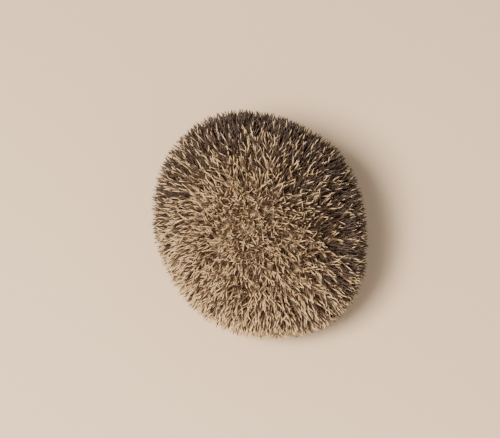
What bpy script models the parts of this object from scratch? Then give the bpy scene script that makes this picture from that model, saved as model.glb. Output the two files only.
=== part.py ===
"""A life-size hedgehog rolled up on the floor, as closed solids out to the tips of its spines.

Units are metres, +Z is up and the floor is z = 0. The animal faces -Y, so its left side is at +X.
The spiny mantle is a flattened ball, parted by thin cuts into back, crown, rump and two flanks.
It hangs to the floor all round, but for a low arch in front where the bowed face shows.
The shoulders and the trunk fill the mantle, and the head, legs and tail come out from under them.
"""

import math

import bmesh
import bpy
from mathutils import Matrix, Vector

# ---- The ball, measured over the tips of the spines
HALF_WIDTH = 0.0695
HALF_LENGTH = 0.0800
HEIGHT = 0.112
GIRTH_Z = 0.050  # height of the widest girth
FOOT_SPREAD = 0.62  # radius where the ball meets the floor, as a share of the girth
# Low lobes of the plan outline, as it settles unevenly: (lobes, share of the radius, angle of the first)
OUTLINE_LOBES = ((4, 0.014, math.radians(16)), (5, 0.009, math.radians(5)))

# ---- The mantle's wall
CAVITY_SHARE = 0.69  # radius of the space inside the mantle, as a share of the girth
CAVITY_TOP = 0.086
RIM_SPREAD = 0.50  # radius of the opening at the floor, as a share of the girth
BACK_EDGE_OUTER = 0.076  # the back parts from the ring of crown, flanks and rump here
BACK_EDGE_INNER = 0.068
FACE_ARCH_HEIGHT = 0.027
FACE_ARCH_HALF_ANGLE = math.radians(37)
SECTOR_HALF_ANGLE = math.radians(37.5)  # of the crown and of the rump, in plan

# ---- Faceting and gaps
COLUMNS = 48
STEP = 2 * math.pi / COLUMNS
BACK_ROWS = 6
RING_ROWS = 9
CROWN_COLUMNS = 20  # more than its share, for the arch's curve
RUMP_COLUMNS = 10
FLANK_COLUMNS = 14
GAP = 0.0003  # between neighbours that touch
TRUNK_GAP = 0.0006  # a little more round the trunk, as its facets cross those of its neighbours
FAR = 0.2  # beyond every piece, for blocks that cut right through
FRONT = -math.pi / 2
REAR = math.pi / 2

# ---- The head: it bows steeply, so that the nose is just over the floor
HEAD_LENGTH = 0.060
HEAD_TILT = math.radians(60)
NOSE_TIP = Vector((0, -0.0535, 0.0060))
# Stations along the head: (share of its length, half width, half height, rise of the middle)
HEAD_STATIONS = (
    (0.00, 0.0030, 0.0028, 0.0000),
    (0.06, 0.0048, 0.0042, -0.0002),
    (0.16, 0.0064, 0.0056, -0.0008),
    (0.28, 0.0086, 0.0078, -0.0008),
    (0.42, 0.0122, 0.0112, 0.0004),
    (0.58, 0.0164, 0.0144, 0.0014),
    (0.76, 0.0178, 0.0160, 0.0016),
    (0.92, 0.0134, 0.0122, 0.0014),
    (1.00, 0.0062, 0.0056, 0.0012),
)
HEAD_SIDES = 18
HEAD_RINGS = 17

EYE_RADIUS = 0.0029
EYE_PLACE = Vector((0.0094, 0.0228, 0.0042))  # in the head's own axes
NOSE_RADII = Vector((0.0034, 0.0026, 0.0030))
EAR_PLACE = Vector((0.0150, 0.0330, 0.0010))
EAR_LENGTH = 0.0200
EAR_HALF_WIDTH = 0.0075
EAR_THICKNESS = 0.0014
EAR_CUP = 0.0034
EAR_LEAN = math.radians(-24)
EAR_ROOM = (0.0054, 0.0135, 0.0100)  # half axes of the space round an ear

# ---- The trunk under the mantle
TRUNK_ROWS = 9
SHOULDERS_END = -0.0160  # where the shoulders, with the pocket for the face, part from the rest
BELLY_Z = 0.0200  # lower edge of the trunk's wall
BELLY_SHARE = 0.62  # width of the flat of the belly, as a share of that edge
BELLY_SWELL = 0.0035  # how far the flat lies below the edge
FACE_POCKET_MIDDLE = Vector((0, -0.0520, 0.0200))
FACE_POCKET_RADII = (0.0340, 0.0350, 0.0240)

# ---- Legs, for the left side: joints from the trunk to the paw, then the radius at each
FORELEG_JOINTS = ((0.0240, -0.0100, 0.0270), (0.0215, -0.0205, 0.0150), (0.0148, -0.0285, 0.0062))
FORELEG_RADII = (0.0080, 0.0066, 0.0050)
FOREPAW_SIZE = Vector((0.0060, 0.0078, 0.0040))
FOREPAW_PLACE = Vector((0.0136, -0.0325, 0.0028))
FORE_TOES = dict(spread=math.radians(52), length=0.0080, radius=0.0019, turn=math.radians(-6))

HINDLEG_JOINTS = ((0.0260, 0.0100, 0.0290), (0.0235, 0.0230, 0.0180), (0.0178, 0.0262, 0.0066))
HINDLEG_RADII = (0.0098, 0.0078, 0.0056)
HINDPAW_SIZE = Vector((0.0054, 0.0125, 0.0038))
HINDPAW_PLACE = Vector((0.0165, 0.0165, 0.0028))
HIND_TOES = dict(spread=math.radians(46), length=0.0092, radius=0.0018, turn=math.radians(-8))
TOES = 5
LIMB_SIDES = 9
TOE_SIDES = 5

# ---- The tail, tucked forward under the rump
TAIL_POINTS = ((0, 0.0440, 0.0215), (0, 0.0420, 0.0130), (0, 0.0345, 0.0078), (0, 0.0250, 0.0062))
TAIL_RADII = (0.0048, 0.0042, 0.0032, 0.0014)

# ---- Finishes: colour, roughness
QUILLS = ((0.36, 0.27, 0.18), 0.55)
FACE_FUR = ((0.42, 0.32, 0.22), 0.85)
BELLY_FUR = ((0.62, 0.54, 0.44), 0.90)
BARE_SKIN = ((0.20, 0.14, 0.12), 0.60)
WET_BLACK = ((0.02, 0.018, 0.018), 0.25)
EYE_BLACK = ((0.012, 0.010, 0.010), 0.08)


def clear_scene():
    for thing in list(bpy.data.objects):
        bpy.data.objects.remove(thing, do_unlink=True)


def finish_material(name, finish):
    colour, roughness = finish
    material = bpy.data.materials.new(name)
    material.use_nodes = True
    shader = material.node_tree.nodes["Principled BSDF"]
    shader.inputs["Base Color"].default_value = (*colour, 1)
    shader.inputs["Roughness"].default_value = roughness
    shader.inputs["Metallic"].default_value = 0.0
    return material


def add_object(name, points, faces, finish):
    mesh = bpy.data.meshes.new(name)
    mesh.from_pydata([tuple(p) for p in points], [], faces)
    body = bmesh.new()
    body.from_mesh(mesh)
    bmesh.ops.triangulate(body, faces=body.faces)  # so that Booleans meet flat faces only
    bmesh.ops.recalc_face_normals(body, faces=body.faces)
    body.to_mesh(mesh)
    body.free()
    mesh.shade_smooth()
    mesh.set_sharp_from_angle(angle=math.radians(40))
    thing = bpy.data.objects.new(name, mesh)
    bpy.context.scene.collection.objects.link(thing)
    mesh.materials.append(finish_material(name, finish))
    return thing


def helper(thing):
    """Marks an object as a cutter or a joined piece, which isn't part of the model."""
    thing.hide_render = True
    thing.display_type = "WIRE"
    return thing


def combine(thing, other, operation):
    """Adds a Boolean with other, which becomes a helper."""
    modifier = thing.modifiers.new(f"{operation.lower()}_{other.name}", "BOOLEAN")
    modifier.operation = operation
    modifier.solver = "EXACT"
    modifier.object = helper(other)
    return thing


# ---------------------------------------------------------------- rings and tubes

def skin_rings(rings):
    """Points and faces of a closed tube through rings of equal length, its ends closed by one face each."""
    sides = len(rings[0])
    points = [p for ring in rings for p in ring]
    faces = [
        (row * sides + i, row * sides + (i + 1) % sides,
         (row + 1) * sides + (i + 1) % sides, (row + 1) * sides + i)
        for row in range(len(rings) - 1)
        for i in range(sides)
    ]
    faces.append(tuple(reversed(range(sides))))
    last = (len(rings) - 1) * sides
    faces.append(tuple(last + i for i in range(sides)))
    return points, faces


def tube(name, joints, radii, sides, finish):
    """A limb: a closed tube through joints, with a rounded end beyond the first and the last."""
    joints = [Vector(j) for j in joints]
    backward = (joints[0] - joints[1]).normalized()
    onward = (joints[-1] - joints[-2]).normalized()
    stations = [(joints[0] + backward * radii[0] * 0.7, radii[0] * 0.6)]
    stations += list(zip(joints, radii))
    stations.append((joints[-1] + onward * radii[-1] * 0.7, radii[-1] * 0.6))
    rings = []
    for i, (middle, radius) in enumerate(stations):
        before = stations[max(i - 1, 0)][0]
        after = stations[min(i + 1, len(stations) - 1)][0]
        heading = (after - before).normalized()
        aside = (Vector((1, 0, 0)) - heading * heading.x).normalized()
        across = heading.cross(aside)
        rings.append([
            middle + (aside * math.cos(a) + across * math.sin(a)) * radius
            for a in (2 * math.pi * k / sides for k in range(sides))
        ])
    return add_object(name, *skin_rings(rings), finish)


def ball(name, middle, radii, finish, columns=12, rows=8):
    """An ellipsoid, as a closed mesh of rings between two small end faces."""
    rings = []
    for row in range(rows):
        polar = math.pi * (row + 0.5) / rows
        rings.append([
            middle + Vector((
                radii[0] * math.sin(polar) * math.cos(2 * math.pi * i / columns),
                radii[1] * math.sin(polar) * math.sin(2 * math.pi * i / columns),
                radii[2] * math.cos(polar),
            ))
            for i in range(columns)
        ])
    return add_object(name, *skin_rings(rings), finish)


def block(name, low, high, finish=BARE_SKIN):
    corners = [(x, y, z) for x in (low[0], high[0]) for y in (low[1], high[1]) for z in (low[2], high[2])]
    faces = [(0, 1, 3, 2), (4, 6, 7, 5), (0, 4, 5, 1), (2, 3, 7, 6), (0, 2, 6, 4), (1, 5, 7, 3)]
    return add_object(name, corners, faces, finish)


# ---------------------------------------------------------------- the mantle

def outline(angle):
    """Radius of the ball's girth in plan, at this angle from +X."""
    radius = 1 / math.hypot(math.cos(angle) / HALF_WIDTH, math.sin(angle) / HALF_LENGTH)
    lobes = sum(share * math.cos(count * (angle - first)) for count, share, first in OUTLINE_LOBES)
    return radius * (1 + lobes)


def outline_middle():
    """Middle of the outline's box. The lobes shift it a little, and the model is moved back by this."""
    angles = [STEP * i for i in range(COLUMNS)]
    xs = [outline(a) * math.cos(a) for a in angles]
    ys = [outline(a) * math.sin(a) for a in angles]
    return Vector(((max(xs) + min(xs)) / 2, (max(ys) + min(ys)) / 2, 0))


MIDDLE = outline_middle()


def half_height(share_at_girth, share_at_floor):
    """Vertical half axis of a wall that narrows from one share at the girth to the other at the floor."""
    return GIRTH_Z / math.sqrt(1 - (share_at_floor / share_at_girth) ** 2)


class Shell:
    """An egg-shaped surface: two half ellipses, one above the girth and one below it."""

    def __init__(self, share, top, foot, inset=0.0):
        self.share, self.inset = share, inset
        self.above, self.below = top - GIRTH_Z - inset, foot - inset

    def tilt_at(self, z):
        """Angle from the top at which the surface is at height z."""
        rise = z - GIRTH_Z
        return math.acos(max(-1.0, min(1.0, rise / (self.above if rise > 0 else self.below))))

    def point(self, angle, tilt):
        radius = (self.share * outline(angle) - self.inset) * math.sin(tilt)
        rise = math.cos(tilt) * (self.above if tilt < math.pi / 2 else self.below)
        return Vector((radius * math.cos(angle), radius * math.sin(angle), GIRTH_Z + rise)) - MIDDLE


OUTER = Shell(1.0, HEIGHT, half_height(1.0, FOOT_SPREAD))
INNER = Shell(CAVITY_SHARE, CAVITY_TOP, half_height(CAVITY_SHARE, RIM_SPREAD))


def turn_from_front(angle):
    return abs((angle - FRONT + math.pi) % (2 * math.pi) - math.pi)


def mantle_foot(angle):
    """Height of the mantle's lower edge: on the floor, but for the arch over the face."""
    share = min(turn_from_front(angle) / FACE_ARCH_HALF_ANGLE, 1.0)
    return FACE_ARCH_HEIGHT * math.cos(share * math.pi / 2) ** 2


def column_points(shell, angle, top, foot, rows):
    start, end = shell.tilt_at(top), shell.tilt_at(foot)
    return [shell.point(angle, start + (end - start) * i / rows) for i in range(rows + 1)]


def mantle_back():
    """The cap over the top: an outer and an inner dome, joined at the edge."""
    points, faces = [], []
    starts = {}
    for shell, edge in ((OUTER, BACK_EDGE_OUTER), (INNER, BACK_EDGE_INNER)):
        end = shell.tilt_at(edge)
        pole = len(points)
        points.append(shell.point(0, 0))
        for row in range(1, BACK_ROWS + 1):
            points += [shell.point(STEP * i, end * row / BACK_ROWS) for i in range(COLUMNS)]
        starts[shell] = pole
        first = pole + 1
        for i in range(COLUMNS):
            j = (i + 1) % COLUMNS
            faces.append((pole, first + i, first + j))
            for row in range(BACK_ROWS - 1):
                here = first + row * COLUMNS
                below = here + COLUMNS
                faces.append((here + i, below + i, below + j, here + j))
    outer_edge = starts[OUTER] + 1 + (BACK_ROWS - 1) * COLUMNS
    inner_edge = starts[INNER] + 1 + (BACK_ROWS - 1) * COLUMNS
    for i in range(COLUMNS):
        j = (i + 1) % COLUMNS
        faces.append((outer_edge + i, inner_edge + i, inner_edge + j, outer_edge + j))
    return add_object("back", points, faces, QUILLS)


def mantle_sector(name, start, end, count):
    """A piece of the ring under the back, between upright cuts at two angles, in count columns of faces."""
    walls = []
    for column in range(count + 1):
        angle = start + (end - start) * column / count
        aside = Vector((-math.sin(angle), math.cos(angle), 0)) * GAP / 2
        shift = aside if column == 0 else -aside if column == count else Vector()
        foot = mantle_foot(angle)
        outer = column_points(OUTER, angle, BACK_EDGE_OUTER - GAP * 1.2, foot, RING_ROWS)
        inner = column_points(INNER, angle, BACK_EDGE_INNER - GAP * 1.2, foot, RING_ROWS)
        walls.append([p + shift for p in outer + inner[::-1]])
    ring = len(walls[0])
    points = [p for wall in walls for p in wall]
    faces = [
        (c * ring + i, c * ring + (i + 1) % ring, (c + 1) * ring + (i + 1) % ring, (c + 1) * ring + i)
        for c in range(count)
        for i in range(ring)
    ]
    for first in (0, count * ring):  # the two cut faces, as a strip from the outer wall to the inner
        last = first + ring - 1
        faces += [(first + i, first + i + 1, last - 1 - i, last - i) for i in range(RING_ROWS)]
    return add_object(name, points, faces, QUILLS)


def make_mantle():
    mantle_back()
    half = SECTOR_HALF_ANGLE
    mantle_sector("crown", FRONT - half, FRONT + half, CROWN_COLUMNS)
    mantle_sector("rump", REAR - half, REAR + half, RUMP_COLUMNS)
    mantle_sector("flank_left", FRONT + half, REAR - half, FLANK_COLUMNS)
    mantle_sector("flank_right", REAR + half, FRONT + 2 * math.pi - half, FLANK_COLUMNS)


# ---------------------------------------------------------------- the head

def between_stations(share):
    """Half width, half height and rise of the head's section, smooth between the stations."""
    for before, after in zip(HEAD_STATIONS, HEAD_STATIONS[1:]):
        if share <= after[0] + 1e-9:
            t = (share - before[0]) / (after[0] - before[0])
            t = t * t * (3 - 2 * t) * 0.5 + t * 0.5
            return [a + (b - a) * t for a, b in zip(before[1:], after[1:])]
    return list(HEAD_STATIONS[-1][1:])


def head_mesh(name, grow=0.0):
    """The head in its own axes: nose at the origin, +Y to the nape, +Z to the forehead."""
    rings = []
    for row in range(HEAD_RINGS + 1):
        share = row / HEAD_RINGS
        wide, tall, rise = between_stations(share)
        along = HEAD_LENGTH * share + (grow if row == HEAD_RINGS else -grow if row == 0 else 0)
        ring = []
        for i in range(HEAD_SIDES):
            a = 2 * math.pi * i / HEAD_SIDES
            jowl = 1 + 0.10 * max(0.0, -math.sin(a)) * (1 - abs(2 * share - 1.2))
            ring.append(Vector((
                (wide + grow) * math.cos(a) * jowl,
                along,
                rise + (tall + grow) * math.sin(a),
            )))
        rings.append(ring)
    return add_object(name, *skin_rings(rings), FACE_FUR)


def in_head(thing, place):
    """Puts a piece made round its own origin at a place given in the head's axes."""
    thing.parent = bpy.data.objects["head"]
    thing.location = place


def lay_ear(thing, side):
    """Leans an ear or its room, made upright round the origin, and puts it at its place on the head."""
    thing.data.transform(Matrix.Rotation(EAR_LEAN, 4, "Z"))
    if side < 0:
        thing.data.transform(Matrix.Diagonal((-1, 1, 1, 1)))
        thing.data.flip_normals()
    in_head(thing, Vector((EAR_PLACE.x * side, EAR_PLACE.y, EAR_PLACE.z)))
    return thing


def make_ear(side, name):
    """A cupped leaf laid back along the head, thick at its root and rounded at its tip."""
    rows, columns = 6, 5
    outer, inner = [], []
    for r in range(rows + 1):
        up = r / rows
        half = EAR_HALF_WIDTH * (math.sin(math.pi * (0.16 + 0.80 * up)) ** 0.7)
        for c in range(columns + 1):
            across = 2 * c / columns - 1
            cup = EAR_CUP * (1 - across * across) * (1 - 0.4 * up)
            base = Vector((cup, EAR_LENGTH * up, half * across))
            thick = Vector((EAR_THICKNESS / 2, 0, 0))
            outer.append(base + thick)
            inner.append(base - thick)
    points = outer + inner
    shift = len(outer)
    wide = columns + 1
    faces = []
    for r in range(rows):
        for c in range(columns):
            a = r * wide + c
            faces.append((a, a + 1, a + wide + 1, a + wide))
            faces.append((shift + a, shift + a + wide, shift + a + wide + 1, shift + a + 1))
    edge = list(range(wide))
    edge += [r * wide + columns for r in range(1, rows + 1)]
    edge += [rows * wide + c for c in range(columns - 1, -1, -1)]
    edge += [r * wide for r in range(rows - 1, 0, -1)]
    for a, b in zip(edge, edge[1:] + edge[:1]):
        faces.append((a, shift + a, shift + b, b))
    return lay_ear(add_object(name, points, faces, BARE_SKIN), side)


def make_head():
    head = head_mesh("head")
    head.rotation_euler = (HEAD_TILT, 0, 0)
    head.location = NOSE_TIP - MIDDLE
    nose = ball("nose", Vector(), NOSE_RADII, WET_BLACK, columns=12, rows=7)
    in_head(nose, Vector((0, -0.0004, 0.0008)))
    socket = ball("nose_socket", Vector(), [r + GAP for r in NOSE_RADII], WET_BLACK, columns=12, rows=7)
    in_head(socket, nose.location)
    combine(head, socket, "DIFFERENCE")
    for side, word in ((1, "left"), (-1, "right")):
        place = Vector((EYE_PLACE.x * side, EYE_PLACE.y, EYE_PLACE.z))
        eye = ball(f"eye_{word}", Vector(), (EYE_RADIUS,) * 3, EYE_BLACK, columns=12, rows=8)
        in_head(eye, place)
        hole = ball(f"eye_socket_{word}", Vector(), (EYE_RADIUS + GAP,) * 3, EYE_BLACK, columns=12, rows=8)
        in_head(hole, place)
        combine(head, hole, "DIFFERENCE")
        ear = make_ear(side, f"ear_{word}")
        cheek = head_mesh(f"ear_trim_{word}", grow=GAP)
        in_head(cheek, Vector())
        combine(ear, cheek, "DIFFERENCE")


# ---------------------------------------------------------------- legs and tail

def mirrored(place, side):
    return Vector((place[0] * side, place[1], place[2]))


def make_leg(name, side, joints, radii, paw_place, paw_size, toes):
    """Leg, paw and toes joined into one solid, with its sole cut flat on the floor."""
    leg = tube(name, [mirrored(j, side) - MIDDLE for j in joints], radii, LIMB_SIDES, FACE_FUR)
    middle = mirrored(paw_place, side) - MIDDLE
    paw = ball(f"{name}_paw", middle, paw_size, FACE_FUR, columns=10, rows=6)
    combine(leg, paw, "UNION")
    for i in range(TOES):
        across = 2 * i / (TOES - 1) - 1
        heading = toes["spread"] / 2 * across + toes["turn"] * side
        forward = Vector((math.sin(heading), -math.cos(heading), 0))
        root = middle + Vector((forward.x * paw_size.x * 0.75, forward.y * paw_size.y * 0.62, -0.0006))
        reach = toes["length"] * (1 - 0.22 * across * across)
        knuckle = root + forward * reach * 0.5 + Vector((0, 0, 0.0002))
        pad = root + forward * reach * 0.78 + Vector((0, 0, -0.0004))
        claw = root + forward * reach * 1.25 + Vector((0, 0, -0.0010))
        radius = toes["radius"]
        toe = tube(f"{name}_toe_{i}", (root, knuckle, pad, claw),
                   (radius, radius * 1.05, radius * 0.85, radius * 0.34), TOE_SIDES, BARE_SKIN)
        combine(leg, toe, "UNION")
    below = block(f"{name}_floor", (-FAR, -FAR, -FAR), (FAR, FAR, 0))
    combine(leg, below, "DIFFERENCE")
    return leg


def make_legs():
    for side, word in ((1, "left"), (-1, "right")):
        make_leg(f"foreleg_{word}", side, FORELEG_JOINTS, FORELEG_RADII,
                 FOREPAW_PLACE, FOREPAW_SIZE, FORE_TOES)
        make_leg(f"hindleg_{word}", side, HINDLEG_JOINTS, HINDLEG_RADII,
                 HINDPAW_PLACE, HINDPAW_SIZE, HIND_TOES)


def make_tail():
    tube("tail", [Vector(p) - MIDDLE for p in TAIL_POINTS], TAIL_RADII, LIMB_SIDES, BARE_SKIN)


# ---------------------------------------------------------------- the trunk

def trunk_body(name, grow=0.0):
    """The trunk's whole outer form: egg-shaped, with a slightly rounded belly."""
    shell = Shell(CAVITY_SHARE, CAVITY_TOP, half_height(CAVITY_SHARE, RIM_SPREAD), inset=TRUNK_GAP - grow)
    end = shell.tilt_at(BELLY_Z - grow)
    rings = [
        [shell.point(STEP * 2 * i, end * row / TRUNK_ROWS) for i in range(COLUMNS // 2)]
        for row in range(1, TRUNK_ROWS + 1)
    ]
    edge = rings[-1]
    rings.append([Vector((p.x * BELLY_SHARE, p.y * BELLY_SHARE, p.z - BELLY_SWELL)) for p in edge])
    return add_object(name, *skin_rings(rings), BELLY_FUR)


def face_pocket(name, grow=0.0):
    radii = [r + grow for r in FACE_POCKET_RADII]
    return ball(name, FACE_POCKET_MIDDLE - MIDDLE, radii, BELLY_FUR, columns=16, rows=9)


def make_trunk():
    """The furred body inside the mantle, parted by upright cuts into two shoulders and the rest."""
    rooms = [face_pocket("face_pocket")]
    for side, word in ((1, "left"), (-1, "right")):
        room = ball(f"ear_room_{word}", Vector((EAR_CUP / 2, EAR_LENGTH / 2, 0)), EAR_ROOM, BARE_SKIN)
        rooms.append(lay_ear(room, side))
    middle, half = -MIDDLE.x, GAP / 2
    pieces = (
        ("shoulder_left", (middle + half, -FAR), (FAR, SHOULDERS_END - half)),
        ("shoulder_right", (-FAR, -FAR), (middle - half, SHOULDERS_END - half)),
        ("trunk", (-FAR, SHOULDERS_END + half), (FAR, FAR)),
    )
    for name, low, high in pieces:
        piece = trunk_body(name)
        combine(piece, block(f"{name}_span", (*low, -FAR), (*high, FAR)), "INTERSECT")
        for room in rooms:
            combine(piece, room, "DIFFERENCE")


def end_at_trunk():
    """Cuts the head, the legs and the tail where they meet the trunk."""
    room = trunk_body("trunk_room", grow=GAP)
    combine(room, face_pocket("face_pocket_room", grow=-GAP), "DIFFERENCE")
    for name in ("head", "foreleg_left", "foreleg_right", "hindleg_left", "hindleg_right", "tail"):
        combine(bpy.data.objects[name], room, "DIFFERENCE")


def main():
    clear_scene()
    make_mantle()
    make_head()
    make_legs()
    make_tail()
    make_trunk()
    end_at_trunk()


main()
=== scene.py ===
"""The hedgehog's look: one skin over the body, spines on the mantle, fur below, and a studio round it."""

import math
from collections import namedtuple

import bpy
import numpy as np
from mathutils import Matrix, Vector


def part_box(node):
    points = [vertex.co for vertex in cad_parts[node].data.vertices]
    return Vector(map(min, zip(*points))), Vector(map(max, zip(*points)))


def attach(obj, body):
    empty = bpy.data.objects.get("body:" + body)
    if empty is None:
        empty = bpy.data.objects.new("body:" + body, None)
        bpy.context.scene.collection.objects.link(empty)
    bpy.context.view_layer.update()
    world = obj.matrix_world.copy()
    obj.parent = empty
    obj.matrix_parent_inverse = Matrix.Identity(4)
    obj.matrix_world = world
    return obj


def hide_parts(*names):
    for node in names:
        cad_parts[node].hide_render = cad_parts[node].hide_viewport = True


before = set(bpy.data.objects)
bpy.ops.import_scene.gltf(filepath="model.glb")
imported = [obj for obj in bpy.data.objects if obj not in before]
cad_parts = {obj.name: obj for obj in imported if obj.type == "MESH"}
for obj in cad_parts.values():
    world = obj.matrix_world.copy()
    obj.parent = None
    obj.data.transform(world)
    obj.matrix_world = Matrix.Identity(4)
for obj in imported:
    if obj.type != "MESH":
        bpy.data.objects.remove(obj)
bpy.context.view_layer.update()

import openvdb as vdb
from mathutils import Vector
from mathutils.kdtree import KDTree

rng = np.random.default_rng(11)
TURN = 2 * math.pi

# ---- The ball over the tips of the spines, as in the solids (metres)
HALF_WIDTH, HALF_LENGTH, HEIGHT = 0.0695, 0.0800, 0.112
GIRTH_Z = 0.050  # height of the widest level
HALF_BELOW = 0.0637  # from there down to where the lower half would close
LOBES = ((4, 0.014, math.radians(16)), (5, 0.009, math.radians(5)))  # how many, how big, first angle

# ---- The coat over the ball's skin
COAT_DEPTH = 0.0160  # from the skin to the tips, over the back
COAT_DEPTH_RIM = 0.0040
COAT_DEEPENS = (-0.004, 0.052)  # from the height of the rim's depth to the height of the back's

# ---- The coat's map: the ball seen as a disc, with its top in the middle
MAP_RADIUS = 0.485
MAP_HALF_HEIGHT = 0.055
LONG_PATCH, SHORT_PATCH = (0.003, 0.009), (0.003, 0.003)  # room for one strand

# ---- Spines
SPINE_SPACING = 0.00182  # on the skin
SPINE_RADIUS = 0.00054
SPINE_LENGTHS = (0.006, 0.0245)  # shortest and longest
SPINE_SUNK = 0.0008  # how far they start below the skin
SPINE_SIDES, SPINE_PIECES = 5, 6
ROOT_TILTS = (0.02, math.radians(150))  # of the first and the last ring of roots, from the top down
ROOT_STRAY = 0.34  # how far a root strays from its even place, in spacings
ROOT_LOWEST = 0.0062
ROW_SPACING = 0.93  # of the rings of roots, in spacings
LAID_HEIGHTS = (0.008, 0.040)  # below the first, spines lie down over the rim; above the second, they bristle
BACK_SLOPES = (0.55, 0.95)  # upward part of the skin's normal, from the shoulders of the back to its top
LEAN_DRIFT, LEAN_RANDOM = 0.16, 0.37  # leans that neighbours share, and each spine's own
LEAN_TO_ENDS, LEAN_DOWN = 0.7, 1.25  # leans over the back to its two ends, and down over the rim
TIP_REACH, TIP_SHORTFALL = 1.034, 0.032  # of the ball's size: furthest tips, and spread of the rest
TIP_LOWEST = 0.0006  # over the floor
BROW_REAR, BROW_TOP, BROW_SHARE = -0.020, 0.044, 0.55  # where the brow has more spines, and how many
SHADED_FLANK = np.array([0.885, 0.14, -0.25])  # way to the flank that gets painted shade, the side away from the key lamp
HALF_SHADED_RIM = np.array([-0.42, 0.907, 0])  # way to a stretch of the rim, over the rump, that gets a little painted shade
DARK_AND_SHADE_SHARES = (0.14, 0.75, 0.60)  # of dark-tipped spines: everywhere as the coat's own pattern, and added as painted shade on each of the two sides
FLANK_SHADE_REACH, RIM_SHADE_REACH = (-0.38, 0.45), (0.30, 0.86)  # how far each side's painted shade goes round the ball

# ---- The arch over the face, where no spines grow
ARCH_HALF_WIDTH, ARCH_HEIGHT, ARCH_FOOT_Z, ARCH_REAR = 0.020, 0.024, 0.002, -0.020

# ---- The width of each kind of strand along its length, as a share of its radius
SPINE_PROFILE = ((0, 0.5), (0.08, 0.85), (0.3, 1.0), (0.55, 1.0), (0.78, 0.78), (0.92, 0.42))
TUFT_PROFILE = ((0, 0.7), (0.35, 1.0), (0.72, 0.62))
WHISKER_PROFILE = ((0, 1.0), (0.3, 0.85), (0.6, 0.6), (0.85, 0.35))
CLAW_PROFILE = ((0, 0.85), (0.15, 1.0), (0.4, 0.86), (0.65, 0.62), (0.85, 0.34))

# ---- Fur: how far its tufts stand apart, how long and thick they are, how steeply they rise off the
# skin, and how much they stray from the way they lie
Fur = namedtuple("Fur", "spacing length radius rise stray slot")
BELLY_FUR = Fur(0.00118, 0.0080, 0.00025, 0.50, 0.22, "belly_fur")
FACE_FUR = Fur(0.00041, 0.0026, 0.00016, 0.30, 0.12, "face_fur")
CHEEK_FUR = Fur(0.00055, 0.0046, 0.00021, 0.38, 0.18, "face_fur")
LEG_FUR = Fur(0.00062, 0.0026, 0.00018, 0.32, 0.14, "face_fur")
EAR_FUR = Fur(0.00090, 0.0018, 0.00012, 0.40, 0.20, "bare_skin")
FUR_SUNK = 0.0003  # how far the tufts start below the skin
FUR_LOWEST = 0.0004  # the tufts are cut to end over this height
FUR_SHORTEST = 0.0008  # but are never cut shorter than this
FUR_CLEARANCE = 0.20  # height of a tuft's tip over the skin, of its length
LONG_FUR = 0.006  # fur longer than this is cut beside the face
FACE_ROOM, FACE_ROOM_Y = (0.030, 0.016), -0.052  # half width and half length of that place, and its middle
TUFT_SIDES, WHISKER_SIDES, CLAW_SIDES = 3, 5, 8

# ---- The way the fur lies on the legs, on ears and tail, and on the belly: there it goes to the rear in
# the middle, and outward near the rim, between two distances from the middle
LEG_WAY, EAR_WAY = np.array([0, -0.6, -1.0]), np.array([0, 0.4, 1.0])
REAR_WAY, RIM_WAY = np.array([0, 1.0, 0]), np.array([0, 0, -0.8])
RIM_REACHES = (0.026, 0.036)

# ---- Where each kind of fur grows
BELLY_TOP = 0.045
FRINGE_ARCH = (1.85, 2.25)  # the fringe between the rim's spines thins out, in sizes of the face's arch
FRINGE_RIM = (0.010, 0.016)  # and in heights
FACE_START, FACE_END, CHEEK_START = 0.0030, 0.026, 0.024  # back from the nose tip
LEG_FUR_LOWEST = 0.0022
TAIL_COVER = 0.6  # of the ears' cover
LASH_EDGE = (0.0003, 0.0010)  # away from the slit of the eyes

# ---- The head's axes: the nose tip is the origin, the second axis runs to the nape, the third to the brow
NOSE_TIP = Vector((0, -0.0535, 0.0060))
HEAD_TILT = math.radians(60)
HEAD_COS, HEAD_SIN = math.cos(HEAD_TILT), math.sin(HEAD_TILT)

# ---- The nose pad's radii across, back and up
NOSE_RADII = (0.0037, 0.0028, 0.0031)

# ---- The neck, which runs on from the head into the shoulders, in the head's axes
NECK_PLACE = (0, 0.0460, 0.0016)
NECK_RADII = (0.0166, 0.0200, 0.0150)

# ---- The mouth line, a groove that falls from under the nose back to its corners, in the head's axes
MOUTH_START, MOUTH_SLOPE, MOUTH_DROOP = -0.0022, 0.10, 0.0010
MOUTH_CORNERS = (0.010, 0.020)  # where it droops
MOUTH_FADES = (0.0150, 0.0185)
MOUTH_HALF_HEIGHT, MOUTH_DEPTH = 0.00055, 0.0009

# ---- Eyes: the ball, the lids over it and the slit between them
SIDES = ((1, "left"), (-1, "right"))
EYE_RADIUS = 0.00284
EYE_GAP = 0.00003  # between the ball and the lids
EYE_LOOK = (0.86, -0.16, 0.44)  # way the left eye looks, in the head's axes
LID_RADIUS, LID_SOFTNESS = 0.0035, 0.0028
SLIT_PLACE = 0.0030  # its middle, out from the eye's
SLIT_RADII = (0.0031, 0.0024, 0.0026)  # along the head, up and down, outward
SLIT_SOFTNESS = 0.0004
LID_RIM = (0.00278, 0.00228)  # half length and half height of the ring of bare skin round the slit
LID_RIM_REACH = 0.0034  # from the eye's middle
LID_RIM_RADIUS = 0.00041

# ---- Whiskers, on the sides of the muzzle, which widens to the rear
WHISKERS = 26
WHISKER_BACK, WHISKER_UP = (0.0050, 0.0115), (-0.0018, 0.0012)
MUZZLE_HALF_WIDTH, MUZZLE_WIDENS = 0.0036, 0.16
WHISKER_RADIUS = 0.00009
WHISKER_LENGTHS = (0.009, 0.016)

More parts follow.
